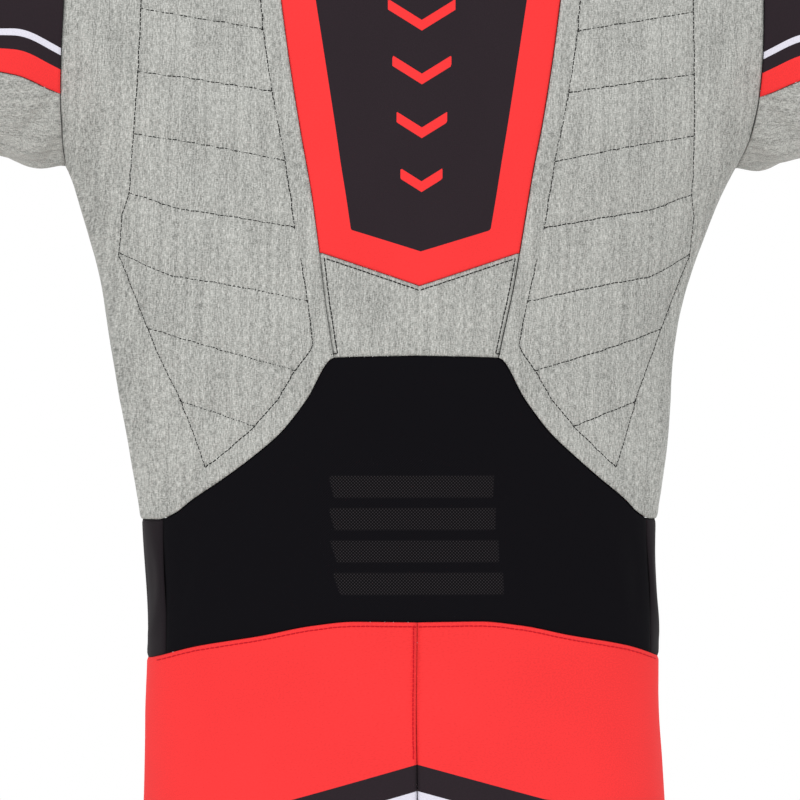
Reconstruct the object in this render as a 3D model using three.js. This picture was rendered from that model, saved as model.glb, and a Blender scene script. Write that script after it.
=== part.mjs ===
// A one-piece karting suit, worn on no one: arms out level, legs straight down, every opening open.
// Millimetres, +Z up. The wearer faces -Y, so the back panels face +Y and the wearer's left is +X.
// The origin is the middle of the neck base, where the suit hangs from the wearer's shoulders.
import * as THREE from 'three';

// ---- Driving sizes -------------------------------------------------------------------------

const WALL = 2;                 // cloth with its lining
const HALF_GAP = 0.15;          // half the gap between two pieces at a seam
const SIDE_GAP = 0.0015;        // the same gap as a share of a quarter turn round a section
const ROUNDNESS = 2.3;          // exponent of the body's oval sections, 2 is an ellipse

const ARM_Z = -110;             // height of the arm's axis at the armhole
const ARMPIT_Z = -223;
const ARCH = 150;               // cloth length from the arm's axis up to the shoulder seam
const SHOULDER_TOP = 23.5;      // the shoulder seam's height, carried in to the middle
const SHOULDER_FALL = 0.1534;   // how far it falls for each millimetre outwards
const NECK = { half: 75, back: 62, front: 80 };
const SIDE_SEAM_FORWARD = 0.12; // the side seam lies this share of a quarter turn to the front

const COLLAR = { height: 42, lean: 0.93, slit: 0.8 };
const ZIP = { edge: 14, coil: 3, proud: 1, bottom: -640, end: -655 };
const SLEEVE = { length: 470, fall: 12, join: 70, back: 2, drop: 6, cuff: 55 };
const LEG = { hem: -1400, cuff: 55 };

const GREY = { color: 0xb0b1ac, roughness: 0.85, metalness: 0 };
const BLACK = { color: 0x2b262a, roughness: 0.75, metalness: 0 };
const STRETCH = { color: 0x0e0d10, roughness: 0.8, metalness: 0 };
const RED = { color: 0xfb3d3d, roughness: 0.7, metalness: 0 };
const METAL = { color: 0x55565a, roughness: 0.35, metalness: 0.9 };

// Level sections of body and legs. half: middle to side. inside: the leg's inner side, which is
// past the middle until the fork. back, front: depths. lean, turn: how the stance carries it.
const SECTIONS = [
  { z: -110, half: 330, inside: -330, back: 112, front: 118, lean: 0, turn: 0 },
  { z: -150, half: 300, inside: -300, back: 113, front: 122, lean: 0, turn: 0 },
  { z: -190, half: 268, inside: -268, back: 113, front: 124, lean: 0, turn: 0 },
  { z: -223, half: 243, inside: -243, back: 111, front: 122, lean: 0, turn: 0 },
  { z: -255, half: 229, inside: -229, back: 108, front: 119, lean: 1.5, turn: 1 },
  { z: -307, half: 213, inside: -213, back: 103, front: 114, lean: 3.6, turn: 2 },
  { z: -360, half: 202.5, inside: -202.5, back: 98, front: 110, lean: 5.2, turn: 2.3 },
  { z: -430, half: 192.7, inside: -192.7, back: 90, front: 106, lean: 1.8, turn: 1.1 },
  { z: -484, half: 185.5, inside: -185.5, back: 87, front: 104, lean: 1, turn: -0.5 },
  { z: -550, half: 184.6, inside: -184.6, back: 92, front: 104, lean: -2, turn: -1.5 },
  { z: -585, half: 184.5, inside: -184.5, back: 99, front: 104, lean: -1.5, turn: -1.8 },
  { z: -620, half: 184.8, inside: -153, back: 107, front: 104, lean: -0.7, turn: -2 },
  { z: -655, half: 186.2, inside: -112, back: 115, front: 103, lean: -1.2, turn: -2.3 },
  { z: -690, half: 188, inside: -72, back: 119, front: 102, lean: -1.8, turn: -2.5 },
  { z: -720, half: 189.5, inside: -34, back: 118, front: 101, lean: -1.8, turn: -2.5 },
  { z: -740, half: 190, inside: -12, back: 116, front: 100, lean: -1.8, turn: -2.5 },
  { z: -755, half: 190.5, inside: 0.5, back: 114, front: 99, lean: -1.8, turn: -2.5 },
  { z: -800, half: 191, inside: 7, back: 106, front: 96, lean: -1.8, turn: -2.5 },
  { z: -900, half: 193, inside: 18, back: 98, front: 91, lean: -1.8, turn: -2.5 },
  { z: -1000, half: 194, inside: 30, back: 91, front: 85, lean: -1.8, turn: -2.5 },
  { z: -1080, half: 193, inside: 39, back: 81, front: 84, lean: -1.8, turn: -2.5 },
  { z: -1180, half: 195, inside: 48, back: 84, front: 72, lean: -1.8, turn: -2.5 },
  { z: -1300, half: 192, inside: 60, back: 74, front: 62, lean: -1.8, turn: -2.5 },
  { z: -1400, half: 189, inside: 73, back: 64, front: 56, lean: -1.8, turn: -2.5 },
  { z: -1460, half: 185, inside: 79, back: 59, front: 52, lean: -1.8, turn: -2.5 },
];

// Sleeve sections by distance from the armhole: half heights and half depths.
const SLEEVE_SECTIONS = [
  { d: 0, high: 96, deep: 78 },
  { d: 45, high: 91, deep: 76 },
  { d: 110, high: 80, deep: 71 },
  { d: 220, high: 70, deep: 65 },
  { d: 340, high: 58, deep: 55 },
  { d: 470, high: 45, deep: 43 },
  { d: 530, high: 40, deep: 38 },
];

// Where the seams run. Each is drawn for the wearer's left and mirrored for the right.
const ARMHOLE = [
  { z: -223, x: 243 }, { z: -212, x: 246.5 }, { z: -200, x: 249 },
  { z: -175, x: 251.5 }, { z: -150, x: 252 }, { z: -110, x: 251 },
];
const CENTRE_SEAM = [
  { z: -363, x: 59.3 }, { z: -316, x: 68 }, { z: -285, x: 72.5 }, { z: -235, x: 80 },
  { z: -200, x: 86.5 }, { z: -150, x: 94.5 }, { z: -105, x: 100.5 }, { z: 40, x: 118 },
];
const LUMBAR_TOP = [
  { x: 0, z: -361.5 }, { x: 59.3, z: -363 }, { x: 79, z: -393 }, { x: 97, z: -416 },
  { x: 116, z: -433 }, { x: 136, z: -449 }, { x: 155, z: -463 }, { x: 168, z: -474 },
  { x: 178, z: -478 }, { x: 190, z: -478 },
];
const WAIST_SEAM = [
  { x: 0, z: -550.5 }, { x: 45, z: -550 }, { x: 75, z: -553 }, { x: 110, z: -560 },
  { x: 155, z: -568 }, { x: 190, z: -579 },
];
const LUMBAR_SIDE = 175;
const TIE_TIP = -312.2;
const TIE_SHOULDER = { x: 70.2, z: -289 };
const FRONT_WAIST_DROP = 20;    // the waist seam is this much lower at the zip than behind
const SLEEVE_SEAM = [
  { d: 0, turn: 125 }, { d: 40, turn: 114 }, { d: 150, turn: 101 }, { d: 470, turn: 95 },
];

// ---- Reading the tables --------------------------------------------------------------------

// A smooth curve through a table's rows that never overshoots them.
function read(table, key, column, at) {
  const rising = table[1][key] > table[0][key] ? 1 : -1;
  const last = table.length - 1;
  if ((at - table[0][key]) * rising <= 0) return table[0][column];
  if ((at - table[last][key]) * rising >= 0) return table[last][column];
  let row = 0;
  while ((at - table[row + 1][key]) * rising > 0) row += 1;
  const grade = (i) => (table[i + 1][column] - table[i][column]) / (table[i + 1][key] - table[i][key]);
  const slope = (i) => {
    if (i === 0) return grade(0);
    if (i === last) return grade(last - 1);
    const before = grade(i - 1);
    const after = grade(i);
    return before * after <= 0 ? 0 : (2 * before * after) / (before + after);
  };
  const span = table[row + 1][key] - table[row][key];
  const f = (at - table[row][key]) / span;
  const start = table[row][column];
  const end = table[row + 1][column];
  const ease = f * f * (3 - 2 * f);
  return start + (end - start) * ease
    + span * (f * (1 - f) * (1 - f) * slope(row) - f * f * (1 - f) * slope(row + 1));
}

const mix = (a, b, share) => a + (b - a) * share;
const smooth = (f) => THREE.MathUtils.smoothstep(f, 0, 1);
const quarter = Math.PI / 2;

// ---- The form the cloth lies on ------------------------------------------------------------

// A place round a section is counted in quarter turns from the middle of the back towards the
// side (1) and the middle of the front (2). The leg's inner side is -1 from behind, 3 from in front.
function across(turns) {
  const s = Math.sin(turns * quarter);
  return Math.sign(s) * Math.abs(s) ** (2 / ROUNDNESS);
}

function along(turns) {
  const c = Math.cos(turns * quarter);
  return Math.sign(c) * Math.abs(c) ** (2 / ROUNDNESS);
}

function turnsOf(share) {
  const s = Math.sign(share) * Math.min(1, Math.abs(share)) ** (ROUNDNESS / 2);
  return Math.asin(s) / quarter;
}

// The body's outer surface: below the arm's axis level sections, above it arches over the shoulder.
function bodyPoint(turns, level) {
  const z = Math.min(level, ARM_Z);
  const half = read(SECTIONS, 'z', 'half', z);
  const depth = read(SECTIONS, 'z', Math.cos(turns * quarter) >= 0 ? 'back' : 'front', z);
  const x = half * across(turns);
  const y = depth * along(turns);
  if (level <= ARM_Z) return stance(x, y, z);
  const angle = ((level - ARM_Z) / ARCH) * quarter;
  return new THREE.Vector3(x, y * Math.cos(angle), ARM_Z + shoulderRise(x) * Math.sin(angle));
}

function shoulderRise(x) {
  return SHOULDER_TOP - SHOULDER_FALL * Math.abs(x) - ARM_Z;
}

// The stance turns and shifts each section a little, as a standing wearer does.
function stance(x, y, z) {
  const turn = THREE.MathUtils.degToRad(read(SECTIONS, 'z', 'turn', z));
  const lean = read(SECTIONS, 'z', 'lean', z);
  return new THREE.Vector3(
    lean + x * Math.cos(turn) - y * Math.sin(turn), x * Math.sin(turn) + y * Math.cos(turn), z);
}

// Quarter turns of a place on the back, or on the front, that is x from the middle.
function backTurns(x, level) {
  return turnsOf(x / read(SECTIONS, 'z', 'half', Math.min(level, ARM_Z)));
}

function frontTurns(x, level) {
  return 2 - backTurns(x, level);
}

// The leg's outer surface, a section that stops at the middle until the fork is reached.
function legPoint(side, turns, z) {
  const half = read(SECTIONS, 'z', 'half', z);
  const inside = read(SECTIONS, 'z', 'inside', z);
  const depth = read(SECTIONS, 'z', Math.cos(turns * quarter) >= 0 ? 'back' : 'front', z);
  const x = (half + inside) / 2 + ((half - inside) / 2) * across(turns);
  return stance(side * x, depth * along(turns), z);
}

function legTurns(x, z) {
  const half = read(SECTIONS, 'z', 'half', z);
  const inside = read(SECTIONS, 'z', 'inside', z);
  return turnsOf((x - (half + inside) / 2) / ((half - inside) / 2));
}

// The level at which the neck's edge crosses the body, for a place x from the middle.
function neckLevel(x, front) {
  const depth = read(SECTIONS, 'z', front ? 'front' : 'back', ARM_Z);
  const half = read(SECTIONS, 'z', 'half', ARM_Z);
  const body = depth * (1 - (Math.abs(x) / half) ** ROUNDNESS) ** (1 / ROUNDNESS);
  const hole = (front ? NECK.front : NECK.back) * Math.sqrt(Math.max(0, 1 - (x / NECK.half) ** 2));
  return ARM_Z + (Math.acos(hole / body) / quarter) * ARCH;
}

function armholePoint(turn) {
  const back = Math.sin(turn) >= 0;
  const height = Math.cos(turn);
  if (height >= 0) {
    const level = ARM_Z + ARCH * (1 - Math.acos(height) / quarter);
    const turns = backTurns(read(ARMHOLE, 'z', 'x', ARM_Z), level);
    return bodyPoint(back ? turns : 2 - turns, level);
  }
  const z = ARM_Z + (ARM_Z - ARMPIT_Z) * height;
  const turns = backTurns(read(ARMHOLE, 'z', 'x', z), z);
  return bodyPoint(back ? turns : 2 - turns, z);
}

// The sleeve's outer surface. turn goes round from the top, over the back, to the armpit.
function sleevePoint(side, turn, distance) {
  const fall = THREE.MathUtils.degToRad(SLEEVE.fall);
  const hole = armholePoint(turn);
  const high = read(SLEEVE_SECTIONS, 'd', 'high', distance) * Math.cos(turn);
  const deep = read(SLEEVE_SECTIONS, 'd', 'deep', distance) * Math.sin(turn);
  const start = read(ARMHOLE, 'z', 'x', ARM_Z);
  const round = new THREE.Vector3(
    start + high * Math.sin(fall), SLEEVE.back + deep, ARM_Z - SLEEVE.drop + high * Math.cos(fall));
  const point = hole.lerp(round, smooth(distance / SLEEVE.join));
  point.x += distance * Math.cos(fall);
  point.z -= distance * Math.sin(fall);
  point.x *= side;
  return point;
}

// ---- Cloth walls ---------------------------------------------------------------------------

// A closed wall under a grid of outer points. outer(i, j) gives them, for i across and j up.
// Its inner side is WALL below, or its outer side is lifted by proud too. ring joins i's ends.
function wallGeometry(columns, rows, outer, { ring = false, proud = 0, wall = WALL } = {}) {
  const wide = ring ? columns : columns + 1;
  const grid = [];
  for (let j = 0; j <= rows; j += 1) {
    for (let i = 0; i < wide; i += 1) grid.push(outer(i, j));
  }
  const at = (i, j) => grid[j * wide + (ring ? (i + columns) % columns : i)];
  // The direction along a line of points: between the two neighbours, or at an end by the
  // curve through the last three.
  const heading = (get, k, last, closed) => {
    if (closed || (k > 0 && k < last)) return get(k + 1).clone().sub(get(k - 1));
    const step = k === 0 ? 1 : -1;
    if (last < 2) return get(k + step).clone().sub(get(k)).multiplyScalar(step);
    const [a, b, c] = [get(k), get(k + step), get(k + 2 * step)];
    const near = b.distanceTo(a);
    const far = c.distanceTo(a);
    const first = b.clone().sub(a).multiplyScalar(far / near);
    return first.sub(c.clone().sub(a).multiplyScalar(near / far)).multiplyScalar(step);
  };
  const out = [];
  const inn = [];
  for (let j = 0; j <= rows; j += 1) {
    for (let i = 0; i < wide; i += 1) {
      const alongI = heading((k) => at(k, j), i, columns, ring);
      const alongJ = heading((k) => at(i, k), j, rows, false);
      const normal = alongI.cross(alongJ).normalize();
      out.push(at(i, j).clone().addScaledVector(normal, proud));
      inn.push(at(i, j).clone().addScaledVector(normal, -wall));
    }
  }
  const count = out.length;
  const index = [];
  const quad = (a, b, c, d) => index.push(a, b, c, a, c, d);
  const id = (i, j) => j * wide + (ring ? i % columns : i);
  for (let j = 0; j < rows; j += 1) {
    for (let i = 0; i < columns; i += 1) {
      const [a, b, c, d] = [id(i, j), id(i + 1, j), id(i + 1, j + 1), id(i, j + 1)];
      quad(a, b, c, d);
      quad(count + a, count + d, count + c, count + b);
    }
  }
  for (let i = 0; i < columns; i += 1) {
    quad(id(i, 0), count + id(i, 0), count + id(i + 1, 0), id(i + 1, 0));
    quad(id(i, rows), id(i + 1, rows), count + id(i + 1, rows), count + id(i, rows));
  }
  for (let j = 0; j < rows && !ring; j += 1) {
    quad(id(0, j), id(0, j + 1), count + id(0, j + 1), count + id(0, j));
    quad(id(columns, j), count + id(columns, j), count + id(columns, j + 1), id(columns, j + 1));
  }
  const geometry = new THREE.BufferGeometry();
  const places = [...out, ...inn].flatMap((p) => [p.x, p.y, p.z]);
  geometry.setAttribute('position', new THREE.Float32BufferAttribute(places, 3));
  geometry.setIndex(index);
  geometry.computeVertexNormals();
  return geometry;
}

const suit = new THREE.Group();

function addPiece(name, geometry, finish) {
  const mesh = new THREE.Mesh(geometry, new THREE.MeshStandardMaterial(finish));
  mesh.name = name;
  suit.add(mesh);
}

// A piece for the wearer's left or right. point(u, v, side) faces outwards on the right side,
// u runs from the middle outwards and v upwards, so the left one is laid out the other way round.
function addSided(name, columns, rows, point, finish, options) {
  for (const [side, word] of [[1, 'left'], [-1, 'right']]) {
    const outer = (i, j) => point(side > 0 ? columns - i : i, j, side);
    addPiece(`${name}_${word}`, wallGeometry(columns, rows, outer, options), finish);
  }
}

// Solves for the level where a column of a panel meets an edge that is drawn by its x.
function meet(levelOfX, turnsAt, start) {
  let level = start;
  for (let pass = 0; pass < 14; pass += 1) {
    const half = read(SECTIONS, 'z', 'half', Math.min(level, ARM_Z));
    level = levelOfX(Math.abs(half * across(turnsAt(level))));
  }
  return level;
}

// ---- Rows and columns that neighbouring panels share ---------------------------------------

const LOW_ROWS = 6;
const HIGH_LEVELS = [-209, -193, -174.8, -142, -110];
const SHOULDER_ROWS = 5;
const BODY_ROWS = LOW_ROWS + HIGH_LEVELS.length + SHOULDER_ROWS;
const SEAM_FOOT = -363;         // the lower end of the centre seams
const GREY_HEM = -478;          // the grey cloth's lower edge at the side and in front
const SHOULDER = ARM_Z + ARCH;
const TIE_ROW = (TIE_SHOULDER.z - SEAM_FOOT) / (ARMPIT_Z - SEAM_FOOT);

// Row j of a column that runs from bottom up to top, with rows at the tie's corner and armpit.
function bodyLevel(j, bottom, top) {
  if (j <= 3) return mix(bottom, ARMPIT_Z, (TIE_ROW * j) / 3);
  if (j <= LOW_ROWS) return mix(bottom, ARMPIT_Z, mix(TIE_ROW, 1, (j - 3) / 3));
  if (j <= LOW_ROWS + HIGH_LEVELS.length) return HIGH_LEVELS[j - LOW_ROWS - 1];
  return mix(ARM_Z, top, (j - LOW_ROWS - HIGH_LEVELS.length) / SHOULDER_ROWS);
}

// Places across the small of the back, then quarter turns on round the side to the side seam.
const BACK_PLACES = [59.3, 79, 97, 116, 136, 155, LUMBAR_SIDE];
const SIDE_PLACES = [1, 1 + SIDE_SEAM_FORWARD];

// Places along the neck edge, in front from the zip outwards and behind from the middle.
const FRONT_NECK = [ZIP.edge, 26, 41, 57, 69, NECK.half];
const BACK_NECK = [0, 20, 40, 57, 69, NECK.half];
const FRONT_SHOULDER_COLUMNS = 5;

const seamX = (level) => read(CENTRE_SEAM, 'z', 'x', level);
const lumbarTop = (x) => read(LUMBAR_TOP, 'x', 'z', x);
const mirrorTurns = (side, turns) => (side > 0 ? turns : -turns);

// The side seam below the armpit and the armhole above it, for the back or the front panel.
function outerTurns(level, front) {
  const gap = front ? SIDE_GAP : -SIDE_GAP;
  if (level < ARMPIT_Z) return 1 + SIDE_SEAM_FORWARD * smooth((ARMPIT_Z - level) / 70) + gap;
  const x = read(ARMHOLE, 'z', 'x', Math.min(level, ARM_Z)) - HALF_GAP;
  return front ? frontTurns(x, level) : backTurns(x, level);
}

// Shares of the way across the back side panel, from its centre seam to its side seam.
const backShares = [
  ...BACK_PLACES.map((x) => backTurns(x, lumbarTop(x))), ...SIDE_PLACES,
].map((turns, i, all) => (turns - all[0]) / (all[all.length - 1] - all[0]));

// Shares of the way across the front panel, from its side to the zip.
const frontShares = (() => {
  const side = backTurns(read(ARMHOLE, 'z', 'x', ARM_Z), ARM_Z);
  const neck = FRONT_NECK.map((x) => backTurns(x, ARM_Z));
  const outer = [];
  for (let i = 0; i < FRONT_SHOULDER_COLUMNS; i += 1) {
    outer.push(mix(side, neck[neck.length - 1], i / FRONT_SHOULDER_COLUMNS));
  }
  return [...outer, ...neck.reverse()].map((turns) => (turns - side) / (neck[neck.length - 1] - side));
})();

// The waist seam's level, which falls from the middle of the back to the zip.
function waistLevel(turns) {
  const half = read(SECTIONS, 'z', 'half', -570);
  const level = read(WAIST_SEAM, 'x', 'z', half * across(Math.min(turns, 1)));
  return level + smooth(turns - 1) * (read(WAIST_SEAM, 'x', 'z', 0) - FRONT_WAIST_DROP - level);
}

const lumbarTurns = backTurns(LUMBAR_SIDE, -570);
const zipTurns = (gap) => (level) => frontTurns(ZIP.edge + gap, level);
const frontTurnsAt = (share) => (level) => mix(outerTurns(level, true), zipTurns(HALF_GAP)(level), share);

// ---- Back ----------------------------------------------------------------------------------

// The printed middle panel, from its arrow-shaped lower edge up to the collar.
const tieEdge = (x) => mix(TIE_TIP, TIE_SHOULDER.z, Math.min(1, x / TIE_SHOULDER.x));
const tieShares = [...BACK_NECK.map((x) => x / seamX(x < NECK.half ? 0 : SHOULDER)), 1];
const tieColumns = [...tieShares.slice(1).reverse(), ...tieShares.map((share) => -share)];
{
  const skipped = 3;
  const rows = BODY_ROWS - skipped;
  const outer = (i, j) => {
    const turnsAt = (level) => backTurns(tieColumns[i] * (seamX(level) - HALF_GAP), level);
    const bottom = meet((x) => tieEdge(x) + HALF_GAP, turnsAt, TIE_TIP);
    const top = meet((x) => neckLevel(Math.min(x, NECK.half), false), turnsAt, 0) - 2 * HALF_GAP;
    const level = j <= 3 ? mix(bottom, ARMPIT_Z, j / 3) : bodyLevel(j + skipped, 0, top);
    return bodyPoint(turnsAt(level), level);
  };
  addPiece('back_centre', wallGeometry(tieColumns.length - 1, rows, outer), BLACK);
}

// The grey piece under its tip.
{
  const rows = 3;
  const outer = (i, j) => {
    const turnsAt = (level) => backTurns(tieColumns[i] * (seamX(level) - HALF_GAP), level);
    const top = meet((x) => tieEdge(x) - HALF_GAP, turnsAt, TIE_TIP);
    const bottom = meet((x) => lumbarTop(x) + HALF_GAP, turnsAt, SEAM_FOOT);
    const level = mix(bottom, top, j / rows);
    return bodyPoint(turnsAt(level), level);
  };
  addPiece('back_lower_centre', wallGeometry(tieColumns.length - 1, rows, outer), GREY);
}

// The quilted side panels, from the lumbar seam up to the shoulder, round to the side seam.
addSided('back_side', backShares.length - 1, BODY_ROWS, (i, j, side) => {
  const turnsAt = (level) => mix(
    backTurns(seamX(level) + HALF_GAP, level), outerTurns(level, false), backShares[i]);
  const bottom = meet((x) => lumbarTop(x) + HALF_GAP, turnsAt, -420);
  const level = bodyLevel(j, bottom, SHOULDER - HALF_GAP);
  return bodyPoint(mirrorTurns(side, turnsAt(level)), level);
}, GREY);

// The knitted stretch panel across the small of the back.
{
  const places = [0, 30, ...BACK_PLACES.slice(0, -1), LUMBAR_SIDE - HALF_GAP];
  const columns = [...places.slice(1).reverse(), ...places.map((x) => -x)];
  const rows = 5;
  const outer = (i, j) => {
    const x = columns[i];
    const top = lumbarTop(Math.abs(x)) - HALF_GAP;
    const bottom = read(WAIST_SEAM, 'x', 'z', Math.abs(x)) + HALF_GAP;
    const level = mix(bottom, top, j / rows);
    return bodyPoint(backTurns(x, level), level);
  };
  addPiece('lumbar_panel', wallGeometry(columns.length - 1, rows, outer), STRETCH);
}

// The woven waist strips, from the stretch panel round to the zip.
addSided('waist_side', frontShares.length + 1, 5, (i, j, side) => {
  const turnsAt = (level) => {
    if (i === 0) return backTurns(LUMBAR_SIDE + HALF_GAP, level);
    if (i === 1) return SIDE_PLACES[0];
    return mix(SIDE_PLACES[1], zipTurns(HALF_GAP)(level), frontShares[i - 2]);
  };
  const top = meet((x) => (i === 0 ? lumbarTop(x) : GREY_HEM) - HALF_GAP, turnsAt, GREY_HEM);
  const level = mix(waistLevel(turnsAt(-570)) + HALF_GAP, top, j / 5);
  return bodyPoint(mirrorTurns(side, turnsAt(level)), level);
}, BLACK);

// ---- Front ---------------------------------------------------------------------------------

addSided('front', frontShares.length - 1, BODY_ROWS, (i, j, side) => {
  const turnsAt = frontTurnsAt(frontShares[i]);
  const neckX = FRONT_NECK[frontShares.length - 1 - i];
  const top = neckX === undefined ? SHOULDER - HALF_GAP : neckLevel(neckX, true) - 2 * HALF_GAP;
  const level = bodyLevel(j, GREY_HEM + HALF_GAP, top);
  return bodyPoint(mirrorTurns(side, turnsAt(level)), level);
}, GREY);

// ---- Collar --------------------------------------------------------------------------------

// A stand collar with its ends meeting at the zip.
{
  const frontPlaces = [COLLAR.slit, ZIP.edge / 2, ...FRONT_NECK];
  const half = [
    ...frontPlaces.map((x) => Math.PI - Math.asin(x / NECK.half)),
    ...BACK_NECK.slice(0, -1).reverse().map((x) => Math.asin(x / NECK.half)),
  ];
  const turns = [...half, ...half.slice(0, -1).reverse().map((turn) => -turn)];
  const rows = 2;
  const outer = (i, j) => {
    const front = Math.cos(turns[i]) < 0;
    const x = NECK.half * Math.sin(turns[i]);
    const y = (front ? NECK.front : NECK.back) * Math.cos(turns[i]);
    const angle = ((neckLevel(x, front) - ARM_Z) / ARCH) * quarter;
    const base = ARM_Z + shoulderRise(x) * Math.sin(angle) + 2 * HALF_GAP;
    const lean = mix(1, COLLAR.lean, j / rows);
    return new THREE.Vector3(x * lean, y * lean, base + (COLLAR.height * j) / rows);
  };
  addPiece('collar', wallGeometry(turns.length - 1, rows, outer), BLACK);
}

// ---- Sleeves -------------------------------------------------------------------------------

const SLEEVE_STEPS = [HALF_GAP, 18, 42, 75, 115, 170, 235, 310, 390, SLEEVE.length - HALF_GAP];
const degrees = THREE.MathUtils.degToRad;
const seamTurn = (distance) => degrees(read(SLEEVE_SEAM, 'd', 'turn', distance));
const seamGap = (distance) => HALF_GAP / read(SLEEVE_SECTIONS, 'd', 'high', distance);

// Turns round the armhole where the body's rows reach it, down to the sleeve's seam and below.
const turnOfLevel = (z) => Math.acos((z - ARM_Z) / (ARM_Z - ARMPIT_Z));
const topTurns = [0, 1, 2, 3, 4].map((row) => (row / SHOULDER_ROWS) * quarter);
const upperTurns = [...topTurns, ...HIGH_LEVELS.slice(2).reverse().map(turnOfLevel)];
const underTurns = [...HIGH_LEVELS.slice(0, 3).reverse(), ARMPIT_Z].map(turnOfLevel);
const upperShares = upperTurns.map((turn) => turn / upperTurns[upperTurns.length - 1]);
const underShares = underTurns.map((turn) => (Math.PI - turn) / (Math.PI - underTurns[0]));

// shares run from the panel's middle to its seam; the panel is their mirror image joined on.
function addSleevePiece(name, shares, turnOf, finish) {
  const across2 = [...shares.slice(1).reverse().map((share) => -share), ...shares];
  for (const [side, word] of [[1, 'left'], [-1, 'right']]) {
    const outer = (i, j) => {
      const distance = SLEEVE_STEPS[j];
      return sleevePoint(side, turnOf(side * across2[i], distance), distance);
    };
    addPiece(`${name}_${word}`, wallGeometry(across2.length - 1, SLEEVE_STEPS.length - 1, outer), finish);
  }
}

addSleevePiece('sleeve_upper', upperShares, (share, d) => share * (seamTurn(d) - seamGap(d)), BLACK);
addSleevePiece('sleeve_under', [...underShares].reverse(), (share, d) => (
  Math.PI + share * (Math.PI - seamTurn(d) - seamGap(d))
), GREY);

for (const [side, word] of [[1, 'left'], [-1, 'right']]) {
  const columns = 16;
  const outer = (i, j) => {
    const distance = SLEEVE.length + HALF_GAP + (SLEEVE.cuff * j) / 2;
    return sleevePoint(side, (side * 2 * Math.PI * i) / columns, distance);
  };
  addPiece(`cuff_${word}`, wallGeometry(columns, 2, outer, { ring: true }), STRETCH);
}

// ---- Legs ----------------------------------------------------------------------------------

const LEG_LEVELS = [
  -1400, -1300, -1180, -1080, -1000, -900, -800, -757, -740, -720, -690, -655, -638, -610,
];
const FORK = -756;
const outseam = 1 + SIDE_SEAM_FORWARD;
const seatShares = [0, 30, ...BACK_PLACES].map((x) => backTurns(x, -570) / outseam);
seatShares.push(SIDE_PLACES[0] / outseam, 1);

function legLevel(j, top) {
  if (j === 0) return LEG.hem + HALF_GAP;
  return j < LEG_LEVELS.length ? LEG_LEVELS[j] : top;
}

function frontEdge(z) {
  return HALF_GAP + ZIP.edge * smooth((z - ZIP.end) / (ZIP.bottom - ZIP.end));
}

addSided('leg_back', seatShares.length - 1, LEG_LEVELS.length, (i, j, side) => {
  const inner = (z) => (z > FORK ? legTurns(HALF_GAP, z) : -1 + SIDE_GAP);
  const turnsAt = (z) => mix(inner(z), outseam - SIDE_GAP, seatShares[i]);
  const z = legLevel(j, waistLevel(turnsAt(-570)) - HALF_GAP);
  return legPoint(side, turnsAt(z), z);
}, RED);

addSided('leg_front', frontShares.length - 1, LEG_LEVELS.length, (i, j, side) => {
  const inner = (z) => (z > FORK ? 2 - legTurns(frontEdge(z), z) : 3 - SIDE_GAP);
  const turnsAt = (z) => mix(outseam + SIDE_GAP, inner(z), frontShares[i]);
  const z = legLevel(j, waistLevel(turnsAt(-570)) - HALF_GAP);
  return legPoint(side, turnsAt(z), z);
}, RED);

for (const [side, word] of [[1, 'left'], [-1, 'right']]) {
  const columns = 16;
  const outer = (i, j) => {
    const z = LEG.hem - HALF_GAP - LEG.cuff + (LEG.cuff * j) / 2;
    return legPoint(side, (-side * 4 * i) / columns, z);
  };
  addPiece(`ankle_cuff_${word}`, wallGeometry(columns, 2, outer, { ring: true }), STRETCH);
}

// ---- Zip -----------------------------------------------------------------------------------

const zipTop = neckLevel(ZIP.edge / 2, true) - 4 * HALF_GAP;
const waistAtZip = waistLevel(2);
const zipLevels = [
  ZIP.bottom + 3, -610, waistAtZip, ...[1, 2, 3, 4].map((row) => mix(waistAtZip, GREY_HEM, row / 5)),
];
for (let j = 0; j <= BODY_ROWS; j += 1) zipLevels.push(bodyLevel(j, GREY_HEM, zipTop));

function zipPoint(x, level) {
  const side = Math.sign(x) || 1;
  if (level < -585) return legPoint(side, 2 - legTurns(Math.abs(x), level), level);
  return bodyPoint(mirrorTurns(side, frontTurns(Math.abs(x), level)), level);
}

addSided('zip_tape', 1, zipLevels.length - 1, (i, j, side) => {
  const x = i === 0 ? ZIP.edge - HALF_GAP : ZIP.coil + 2 * HALF_GAP;
  return zipPoint(side * x, zipLevels[j]);
}, BLACK);

addPiece('zip_coil', wallGeometry(2, zipLevels.length - 1, (i, j) => (
  zipPoint((i - 1) * ZIP.coil, zipLevels[j])
), { proud: ZIP.proud }), BLACK);

// The slider sits closed at the top, with a sewn cloth pull hanging from its lower end.
const SLIDER = { wide: 8, long: 12, thick: 3, below: 16 };
const PULL = { wide: 9, long: 26, thick: 1.6 };

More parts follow.
